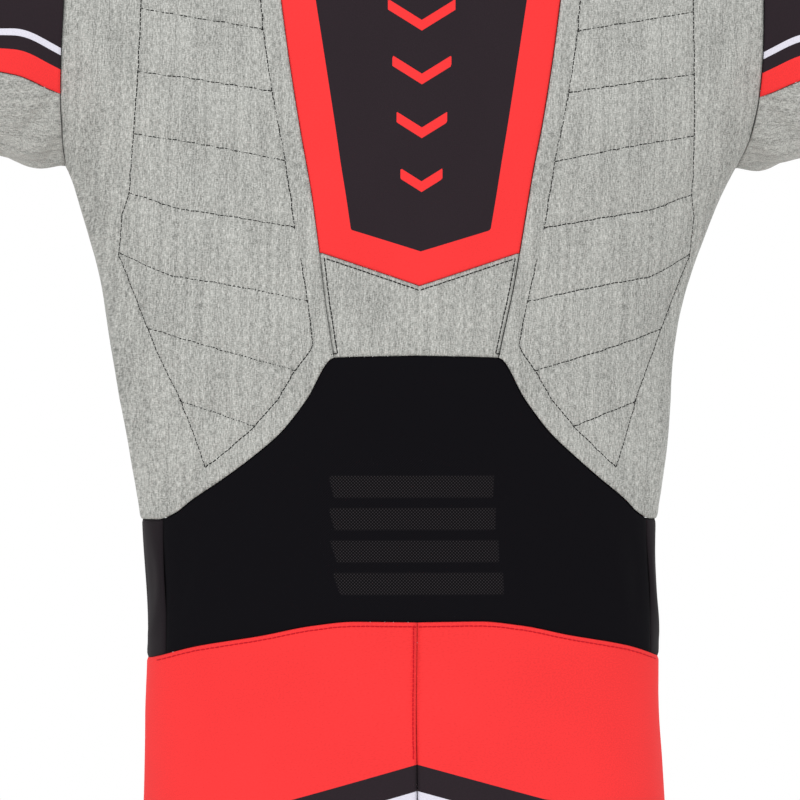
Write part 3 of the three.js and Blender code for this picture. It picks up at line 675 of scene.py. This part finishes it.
def quilted(x, z):
    distances = [line_distance(x, z, line) for line in quilt_lines]
    dip = sum(-QUILT_DIP * np.exp(-(distance / QUILT_GROOVE) ** 2) for distance in distances)
    bay = smooth(np.minimum.reduce(distances) / QUILT_EASE) * QUILT_RISE
    return np.maximum(dip, QUILT_DEEPEST) + bay + crease(x, z, BACK_CREASES)


for side, word in ((1, "left"), (-1, "right")):
    lay_cloth(f"back_side_{word}", 120, 260, back_side_place(side), material=grey_melange,
              relief=quilted)

FACES_FORWARD = -0.2


def stitched_surface(side, point_at, sink, lift_by=None):
    """Where a stitch at (x, z) lies on one side of the suit, and which way the cloth faces there."""
    def surface(x, z):
        spot = point_at(x, z)
        out = np.cross(point_at(x + 1, z) - spot, point_at(x, z + 1) - spot) * side
        out = out / np.linalg.norm(out, axis=-1, keepdims=True)
        out = np.where(out[:, 1:2] < FACES_FORWARD, -out, out)
        extra = lift_by(np.abs(x), z) if lift_by else 0 * x
        return spot + out * (extra - sink)[:, None], out
    return surface


def on_back(side, lift_by=None):
    def point_at(x, z):
        return body_point(side * back_turns(x, z), z)
    return stitched_surface(side, point_at, sink=0.1, lift_by=lift_by)


def offset_line(curve, start, end, gap, steps=40):
    """A row of points along x = curve(z), moved sideways by gap."""
    z = np.linspace(start, end, steps)
    return list(zip(curve(z) + gap, z))


TOPSTITCH = 3.0
ROW_FOOT, ROW_TOP, TIE_ROW_FOOT = -360, 35, -292
for side, word in ((1, "left"), (-1, "right")):
    threads(f"quilting_{word}", quilt_lines, black_thread, on_back(side, quilted))
    seam_rows = [offset_line(SEAM_X, ROW_FOOT, ROW_TOP, TOPSTITCH),
                 offset_line(SEAM_X, ROW_FOOT, TIE_ROW_FOOT, -TOPSTITCH)]
    lumbar_row = [(x, float(LUMBAR_TOP(x)) + TOPSTITCH) for x in np.linspace(57, 182, 40)]
    threads(f"seam_stitches_{word}", seam_rows + [lumbar_row], black_thread, on_back(side), wobble=0.08)
    tie_row = [(x, float(tie_edge(x)) - TOPSTITCH) for x in np.linspace(0.5, 67, 12)]
    threads(f"tie_foot_stitches_{word}", [tie_row], black_thread, on_back(side), wobble=0.08)

# ---- Lumbar panel -----------------------------------------------------------------------------
# A tight black ribbed stretch knit over the small of the back, with four openwork bands of
# diamond mesh. The eye sees deep black with a faint twill line and paler mesh.
LUMBAR_SIDE = 175
BAND_TOP, BAND_FOOT, BAND_PITCH = -446.5, -462, 23
BANDS = [(BAND_TOP - BAND_PITCH * k, BAND_FOOT - BAND_PITCH * k) for k in range(4)]
BAND_LEFT, BAND_RIGHT, BAND_SLANT = 58, -56, 0.3
LEFT_STEP, RIGHT_STEP = 1.2, 2.2
NO_BAND = -9.0


def lumbar_place(u, v):
    x = (1 - 2 * u) * (LUMBAR_SIDE - GAP)
    top, bottom = LUMBAR_TOP(np.abs(x)) - GAP, WAIST(np.abs(x)) + GAP
    level = bottom + (top - bottom) * v
    return body_point(back_turns(x, level), level), x, level


def lumbar_dye(x, z):
    """Millimetres into the nearest openwork band, less than 0 outside them."""
    inside = np.full(np.shape(x), NO_BAND)
    for k, (top, foot) in enumerate(BANDS):
        left, right = BAND_LEFT - LEFT_STEP * k, BAND_RIGHT - RIGHT_STEP * k
        ends = np.minimum(left - x + BAND_SLANT * (z - foot), x - right)
        inside = np.maximum(inside, np.minimum(np.minimum(top - z, z - foot), ends))
    return inside


lumbar_knit, tree = fresh_material("ribbed_stretch_knit_with_mesh")
dye = node(tree, "ShaderNodeAttribute", {"attribute_name": "dye"})
in_band = node(tree, "ShaderNodeMapRange", {"From Min": -0.5, "From Max": 0.5},
               {"Value": dye.outputs["Fac"]})
diagonals = []
for lean in (1, -1):
    turned = node(tree, "ShaderNodeMapping", {"Rotation": (0, 0, lean * math.radians(45))},
                  {"Vector": cut_coordinates(tree, 2.6, 2.6)})
    diagonals.append(node(tree, "ShaderNodeTexWave", {"Scale": 0.5, "Distortion": 0.4},
                          {"Vector": turned.outputs[0]}).outputs["Fac"])
mesh_pattern = node(tree, "ShaderNodeMath", {"operation": "MULTIPLY"})
tree.links.new(diagonals[0], mesh_pattern.inputs[0])
tree.links.new(diagonals[1], mesh_pattern.inputs[1])
mesh_colour = ramp(tree, mesh_pattern.outputs[0], [(0.2, "#0C0B0D"), (0.5, "#2F2C2F")])
rib = node(tree, "ShaderNodeTexWave", {"Scale": 0.5, "Distortion": 0.6},
           {"Vector": node(tree, "ShaderNodeMapping", {"Rotation": (0, 0, math.radians(32))},
                           {"Vector": cut_coordinates(tree, 1.5, 1.5)}).outputs[0]})
rib_colour = ramp(tree, rib.outputs["Fac"], [(0.2, "#0A090C"), (0.8, "#131216")])
knit_colour = blend_by(tree, in_band.outputs[0], rib_colour, mesh_colour)
cloth_shader(tree, knit_colour, rib.outputs["Fac"], 0.75, 0.0, 0.03)
LUMBAR_CREASES = [(150, -490, 158, -548, 6, 0.8), (160, -482, 166, -540, 5, -0.7),
                  (-140, -480, -152, -545, 7, 0.8), (-158, -478, -161, -550, 5, -0.8),
                  (120, -545, 40, -535, 9, 0.5), (-120, -540, -30, -538, 9, 0.5)]
lay_cloth("lumbar_panel", 170, 110, lumbar_place, prints=lumbar_dye, material=lumbar_knit,
          held="stretched", relief=creased(LUMBAR_CREASES))

# ---- Waist strips -----------------------------------------------------------------------------
# Plain black-brown woven strips carry on from the knit round to the zip. The seam below them
# falls 20 mm on its way to the front.
WAIST_DROP = 20
WAIST_LEVEL = -570
STRIP_MIDDLE, STRIP_TOP = -540, -480
GREY_HEM = -478


def waist_level(turns):
    level = WAIST(half_at(WAIST_LEVEL) * power(np.sin(np.minimum(turns, 1) * QUARTER), 2 / ROUNDNESS))
    return level + smooth(turns - 1) * (WAIST_MIDDLE - WAIST_DROP - level)


def zip_turns(level):
    return 2 - back_turns(ZIP_EDGE + GAP, level)


def waist_side_place(side):
    def place(u, v):
        u = 1 - u if side > 0 else u
        start = back_turns(LUMBAR_SIDE + GAP, WAIST_LEVEL)
        column = start + (zip_turns(STRIP_MIDDLE) - start) * u
        behind = LUMBAR_TOP(panel_x(np.minimum(column, 1), STRIP_TOP))
        top = np.where(column < 1, behind, GREY_HEM) - GAP
        bottom = waist_level(column) + GAP
        level = bottom + (top - bottom) * v
        inner = back_turns(LUMBAR_SIDE + GAP, level)
        turns = inner + (zip_turns(level) - inner) * u
        return body_point(side * turns, level), cut_x(turns, level), level
    return place


woven_black = plain_cloth("black_brown_woven_polyester", "#211C20")
STRIP_CREASES = [(181, -485, 183, -560, 3.5, 1.2), (188, -482, 190, -565, 4, -1.2),
                 (215, -490, 212, -560, 7, 1.4), (245, -482, 250, -555, 8, -1.2),
                 (280, -488, 275, -550, 7, 1.0)]
for side, word in ((1, "left"), (-1, "right")):
    lay_cloth(f"waist_side_{word}", 120, 40, waist_side_place(side), material=woven_black,
              relief=creased(STRIP_CREASES))


# ---- Front ------------------------------------------------------------------------------------
# Two plain melange fronts run from the waist strip up to the shoulder and close at the zip. The
# cloth pulls in slanting folds from the armpits and over the waist.
FRONT_ARC = 240


def front_turns(u, level):
    outer = outer_turns(level, True)
    return outer + (zip_turns(level) - outer) * u


def front_top(x):
    return np.where(x < NECK_HALF, neck_level(np.minimum(x, NECK_HALF), True), SHOULDER)


def front_place(side):
    def place(u, v):
        u = 1 - u if side > 0 else u
        top = meet(front_top, front_turns, 0, u) - 2 * GAP
        level = rows_through_armpit(GREY_HEM + GAP, top, v)
        turns = front_turns(u, level)
        return body_point(side * turns, level), FRONT_ARC * (2 - turns), level
    return place


FRONT_CREASES = [(205, -215, 120, -290, 14, 2.0), (215, -240, 150, -350, 16, -1.6),
                 (60, -120, 110, -60, 14, 1.4), (150, -440, 60, -460, 12, 1.6),
                 (190, -400, 90, -430, 14, -1.4), (40, -250, 70, -380, 18, 1.3)]
for side, word in ((1, "left"), (-1, "right")):
    lay_cloth(f"front_{word}", 110, 200, front_place(side), material=grey_melange,
              relief=creased(FRONT_CREASES))


# ---- Collar -----------------------------------------------------------------------------------
# A soft black stand collar goes round the neckline and leans in a little towards its top. Its
# ends meet over the zip.
COLLAR_SLIT, COLLAR_LEAN, COLLAR_HEIGHT, COLLAR_ARC = 0.011, 0.07, 42, 70


def collar_place(u, v):
    turn = (math.pi - COLLAR_SLIT) * (1 - 2 * u)
    x, front = NECK_HALF * np.sin(turn), np.cos(turn) < 0
    y = np.where(front, NECK_FRONT, NECK_BACK) * np.cos(turn)
    level = np.where(front, neck_level(x, True), neck_level(x, False))
    rise = SHOULDER_TOP - SHOULDER_FALL * np.abs(x) - ARM_Z
    base = ARM_Z + rise * np.sin((level - ARM_Z) / ARCH * QUARTER) + 2 * GAP
    lean = 1 - COLLAR_LEAN * v
    rise_up = COLLAR_HEIGHT * v
    return np.stack([x * lean, y * lean, base + rise_up], -1), turn * COLLAR_ARC, rise_up


collar_cloth = plain_cloth("black_microfibre_collar", BLACK_DYE)
COLLAR_CREASES = [(-150, 12, -60, 20, 6, 0.8), (40, 24, 140, 14, 6, 0.8)]
lay_cloth("collar", 160, 26, collar_place, material=collar_cloth,
          relief=creased(COLLAR_CREASES))

# ---- Sleeves ----------------------------------------------------------------------------------
# Each sleeve is a printed upper piece, black with a white line and a red band, sewn to a grey
# under-sleeve. The cloth bunches under the arm and pulls in long slanting folds.
SLEEVE_END, SLEEVE_FALL, SLEEVE_JOIN = 470, math.radians(12), 70
ARM_X, ARM_BACK, ARM_DROP = 251, 2, 6
SLEEVE_RADIUS = 75
HIGH = through([0, 45, 110, 220, 340, 470, 530], [96, 91, 80, 70, 58, 45, 40])
DEEP = through([0, 45, 110, 220, 340, 470, 530], [78, 76, 71, 65, 55, 43, 38])
SLEEVE_SEAM = through([0, 40, 150, 470], [125, 114, 101, 95])


def armhole_point(turn):
    height = np.cos(turn)
    high = ARM_Z + ARCH * (1 - np.arccos(np.clip(height, 0, 1)) / QUARTER)
    level = np.where(height >= 0, high, ARM_Z + (ARM_Z - ARMPIT_Z) * height)
    turns = back_turns(armhole_x(level), level)
    return body_point(np.where(np.sin(turn) >= 0, turns, 2 - turns), level)


def sleeve_point(side, turn, distance):
    hole = armhole_point(turn)
    high, deep = HIGH(distance) * np.cos(turn), DEEP(distance) * np.sin(turn)
    slope, level = math.sin(SLEEVE_FALL), math.cos(SLEEVE_FALL)
    tube = np.stack([ARM_X + high * slope, ARM_BACK + deep, ARM_Z - ARM_DROP + high * level], -1)
    point = hole + (tube - hole) * smooth(distance / SLEEVE_JOIN)[..., None]
    point = point + np.stack([distance * level, 0 * distance, -distance * slope], -1)
    return point * np.array([side, 1, 1])


def sleeve_place(side, turn_of):
    def place(u, v):
        distance = GAP + (SLEEVE_END - 2 * GAP) * v
        turn = turn_of(u if side > 0 else 1 - u, distance)
        fold = (turn + math.pi) % (2 * math.pi) - math.pi if turn_of is upper_turn else turn
        return sleeve_point(side, turn, distance), np.abs(fold) * SLEEVE_RADIUS, distance
    return place


def upper_turn(u, distance):
    edge = np.radians(SLEEVE_SEAM(distance)) - GAP / HIGH(distance)
    return edge * (2 * u - 1)


def under_turn(u, distance):
    edge = np.radians(SLEEVE_SEAM(distance)) + GAP / HIGH(distance)
    return edge + (2 * math.pi - 2 * edge) * u


WHITE_TURN = through([0, 38, 150, 470], [108.5, 96.5, 84, 78])
RED_TURN = through([0, 38, 150, 470], [115.2, 103.6, 91.2, 85.2])
DEGREE_LENGTH, RED_START = 1.7, 10


def sleeve_dye(a, distance):
    """Millimetres round the sleeve below the white line's middle."""
    degrees = np.degrees(a / SLEEVE_RADIUS)
    white, red = WHITE_TURN(distance), RED_TURN(distance)
    below = (degrees - white) / (red - white) * RED_START
    return np.where(degrees < white, (degrees - white) * DEGREE_LENGTH, below)


sleeve_cloth = printed("sublimation_printed_microfibre_sleeve", -20, 20, [
    (-20, BLACK_DYE), (-2.2, WHITE_DYE), (1.9, BLACK_DYE), (RED_START, RED_DYE)])
UPPER_CREASES = [(210, 4, 120, 70, 9, 2.2), (180, 10, 90, 110, 12, -1.8), (140, 4, 70, 60, 10, 1.8),
                 (200, 60, 110, 150, 12, 1.6), (170, 200, 90, 260, 14, 2.6), (60, 215, 140, 245, 12, -2.2),
                 (150, 250, 60, 300, 13, 1.8), (120, 370, 60, 400, 9, 1.6), (110, 420, 40, 440, 8, 1.4)]
UNDER_CREASES = [(165, 4, 190, 46, 6, 3.2), (185, 3, 215, 60, 7, -2.6), (205, 6, 240, 40, 7, 3.0),
                 (225, 10, 262, 55, 8, -2.4), (262, 4, 285, 50, 7, 2.8), (185, 70, 230, 120, 10, 2.0),
                 (200, 180, 260, 235, 12, 3.0), (180, 230, 240, 262, 11, -2.6),
                 (210, 330, 262, 360, 9, 2.0)]
for side, word in ((1, "left"), (-1, "right")):
    lay_cloth(f"sleeve_upper_{word}", 150, 170, sleeve_place(side, upper_turn), material=sleeve_cloth,
              prints=sleeve_dye, relief=creased(UPPER_CREASES))
    lay_cloth(f"sleeve_under_{word}", 100, 170, sleeve_place(side, under_turn), material=grey_melange,
              relief=creased(UNDER_CREASES))

# ---- Cuffs ------------------------------------------------------------------------------------
# Ribbed black knit tubes, 55 mm long, close the wrists and ankles. The ribs are about 1.2 mm
# from furrow to crest, and 4 mm apart at the wrist.
CUFF_LENGTH = 55
CUFF_ROUND, ANKLE_ROUND = 260, 360
CUFF_PITCH, ANKLE_PITCH = 4.0, 4.5
RIB_HEIGHT, RIB_SINK = 0.6, 0.3
rib_knit = plain_cloth("ribbed_cotton_knit", "#161518")


def cuff_place(side):
    def place(u, v):
        turn = side * 2 * math.pi * u
        distance = SLEEVE_END + GAP + CUFF_LENGTH * v
        return sleeve_point(side, turn, distance), CUFF_ROUND * u, distance
    return place


LEG_HEM = -1400


def ankle_place(side):
    def place(u, v):
        z = LEG_HEM - GAP - CUFF_LENGTH + CUFF_LENGTH * v
        return leg_point(side, -side * 4 * u, z), ANKLE_ROUND * u, z
    return place


def ribs(pitch):
    def relief(a, b):
        return RIB_HEIGHT * np.cos(a / pitch * 2 * math.pi) - RIB_SINK
    return relief


for side, word in ((1, "left"), (-1, "right")):
    for name, place, pitch in ((f"cuff_{word}", cuff_place(side), CUFF_PITCH),
                               (f"ankle_cuff_{word}", ankle_place(side), ANKLE_PITCH)):
        lay_cloth(name, 480, 14, place, material=rib_knit, relief=ribs(pitch), held="stretched",
                  ring=True)

# ---- Seat and legs ----------------------------------------------------------------------------
# Red printed microfibre, cut as one back and one front to each leg. Below the seat the print
# turns to a black arrow with a white line in it, and the calves carry the same pair of lines.
FORK = -756
OUTSEAM = 1 + SIDE_FORWARD
ZIP_END, ZIP_CLOSING = -655, 15
SEAT_CROWDING = 1.25
LEG_ARC = 150
ARROW_TOP, ARROW_SLOPE, ARROW_BREAK, ARROW_FLATTER, ARROW_REACH = -648.5, 0.275, 90, 0.14, 200


def front_edge(z):
    return GAP + ZIP_EDGE * smooth((z - ZIP_END) / ZIP_CLOSING)


def leg_rows(v, top):
    """Levels up a leg, closer together over the seat."""
    return LEG_HEM + GAP + (top - LEG_HEM) * (1 - (1 - v) ** SEAT_CROWDING)


def leg_back_turns(u, z):
    inner = np.where(z > FORK, leg_turns(GAP, z), -1 + SEAM_TURN)
    return inner + (OUTSEAM - SEAM_TURN - inner) * u


def leg_front_turns(u, z):
    inner = np.where(z > FORK, 2 - leg_turns(front_edge(z), z), 3 - SEAM_TURN)
    return OUTSEAM + SEAM_TURN + (inner - OUTSEAM - SEAM_TURN) * u


def leg_place(side, turns_at):
    def place(u, v):
        u = 1 - u if side > 0 else u
        top = waist_level(turns_at(u, np.full_like(u, WAIST_LEVEL))) - GAP
        z = leg_rows(v, top)
        turns = turns_at(u, z)
        return leg_point(side, turns, z), turns * LEG_ARC, z
    return place


def leg_dye(a, z):
    """Millimetres below the arrow's upper edge, which falls away from the middle of the seat."""
    reach = (half_at(z) + inside_at(z)) / 2 + (half_at(z) - inside_at(z)) / 2 * power(
        np.sin(a / LEG_ARC * QUARTER), 2 / ROUNDNESS)
    steep = np.clip(np.abs(reach), 0, ARROW_BREAK)
    flat = np.clip(np.abs(reach) - ARROW_BREAK, 0, ARROW_REACH)
    return ARROW_TOP - ARROW_SLOPE * steep - ARROW_FLATTER * flat - z


leg_cloth = printed("sublimation_printed_microfibre_leg", -20, 780, [
    (-20, RED_DYE), (0, BLACK_DYE), (19.5, WHITE_DYE), (25.5, BLACK_DYE), (150, WHITE_DYE), (156, RED_DYE)])
SEAT_CREASES = [(4, -560, 8, -640, 5, -0.9), (20, -700, 90, -640, 14, 1.2),
                (0, -735, 60, -700, 9, 2.0), (-30, -760, 40, -742, 8, 2.4),
                (-60, -785, 20, -772, 9, -2.0), (150, -600, 140, -690, 12, 1.0),
                (165, -590, 160, -720, 6, -1.4), (60, -600, 75, -660, 20, 0.6),
                (-90, -1060, 60, -1085, 12, 3.4), (120, -1050, 0, -1100, 11, -2.8),
                (-60, -1110, 70, -1125, 12, 3.0), (-80, -1330, 60, -1350, 12, 3.0),
                (100, -1345, -20, -1370, 11, -2.6), (-60, -1380, 80, -1388, 8, 2.2),
                (140, -900, 120, -1000, 16, 1.6)]
SHIN_CREASES = [(300, -650, 220, -700, 14, 1.8), (360, -735, 280, -700, 12, 2.0),
                (380, -770, 300, -750, 10, -2.0), (200, -1000, 330, -1040, 16, 2.0),
                (380, -1080, 250, -1110, 14, 2.6), (220, -1340, 360, -1350, 12, 2.8),
                (400, -1370, 260, -1380, 10, -2.4), (300, -850, 290, -960, 20, 1.4)]
for side, word in ((1, "left"), (-1, "right")):
    lay_cloth(f"leg_back_{word}", 120, 300, leg_place(side, leg_back_turns), material=leg_cloth,
              prints=leg_dye, relief=creased(SEAT_CREASES))
    lay_cloth(f"leg_front_{word}", 120, 260, leg_place(side, leg_front_turns), material=leg_cloth,
              prints=leg_dye, relief=creased(SHIN_CREASES))


# The waist seam and the centre seam are topstitched in crimson thread.
def on_seat(side):
    def point_at(x, z):
        return leg_point(side, leg_turns(x, z), z)
    return stitched_surface(side, point_at, sink=0.05)


WAIST_TOPSTITCH = 3.2
for side, word in ((1, "left"), (-1, "right")):
    waist_row = [(x, float(WAIST(x)) - WAIST_TOPSTITCH) for x in np.linspace(0.5, 180, 50)]
    threads(f"waist_stitches_{word}", [waist_row], crimson_thread, on_seat(side), wobble=0.08)
threads("centre_seat_stitches", [[(2.6, -553), (2.6, -647)]], crimson_thread, on_seat(1), wobble=0.08)


# ---- Zip --------------------------------------------------------------------------------------
# Black woven tapes, a moulded coil 6 mm wide with a tooth every 1.5 mm, a plated slider at the
# collar and its sewn cloth pull.
ZIP_TOP = float(neck_level(np.array(ZIP_EDGE / 2), True)) - 4 * GAP
ZIP_FOOT = -637
LEG_TOP = -585
COIL_HALF, COIL_EDGE = 3, 3.3
TOOTH_PITCH, TOOTH_STAGGER, TOOTH_HEIGHT, COIL_LIFT = 1.5, 1.2, 0.35, 0.8


def zip_place(x_from, x_to):
    def place(u, v):
        x = x_from + (x_to - x_from) * u
        level = ZIP_FOOT + (ZIP_TOP - ZIP_FOOT) * v
        side = np.where(x >= 0, 1.0, -1.0)
        upper = body_point(side * (2 - back_turns(np.abs(x), level)), level)
        lower_z = np.minimum(level, LEG_TOP)
        turns = 2 - leg_turns(np.abs(x), lower_z)
        left, right = leg_point(1, turns, lower_z), leg_point(-1, turns, lower_z)
        lower = np.where((side > 0)[..., None], left, right)
        return np.where((level < LEG_TOP)[..., None], lower, upper), x, level
    return place


def teeth(a, b):
    """The coil's teeth, the two rows of them out of step."""
    return COIL_LIFT + TOOTH_HEIGHT * np.cos(b / TOOTH_PITCH * 2 * math.pi + np.sign(a) * TOOTH_STAGGER)


tape_cloth = plain_cloth("woven_zip_tape", "#1D1C1F")
for word, first, last in (("left", COIL_EDGE, ZIP_EDGE - GAP), ("right", -ZIP_EDGE + GAP, -COIL_EDGE)):
    lay_cloth(f"zip_tape_{word}", 8, 240, zip_place(first, last), material=tape_cloth)
lay_cloth("zip_coil", 8, 1200, zip_place(-COIL_HALF, COIL_HALF), material=tape_cloth,
          held="moulded", relief=teeth)

plated, tree = fresh_material("plated_zinc_slider")
metal_place = node(tree, "ShaderNodeTexCoord")
grain = node(tree, "ShaderNodeTexNoise", {"Scale": 900.0}, {"Vector": metal_place.outputs["Object"]})
worn = ramp(tree, grain.outputs["Fac"], [(0.3, "#4C4D51"), (0.7, "#606166")])
metal = node(tree, "ShaderNodeBsdfPrincipled", {"Metallic": 0.9, "Roughness": 0.35}, {"Base Color": worn})
node(tree, "ShaderNodeOutputMaterial", links={"Surface": metal.outputs[0]})
for name, material in (("zip_slider", plated), ("zip_pull", tape_cloth)):
    made = bpy.data.objects[name]
    made.data.materials.clear()
    made.data.materials.append(material)
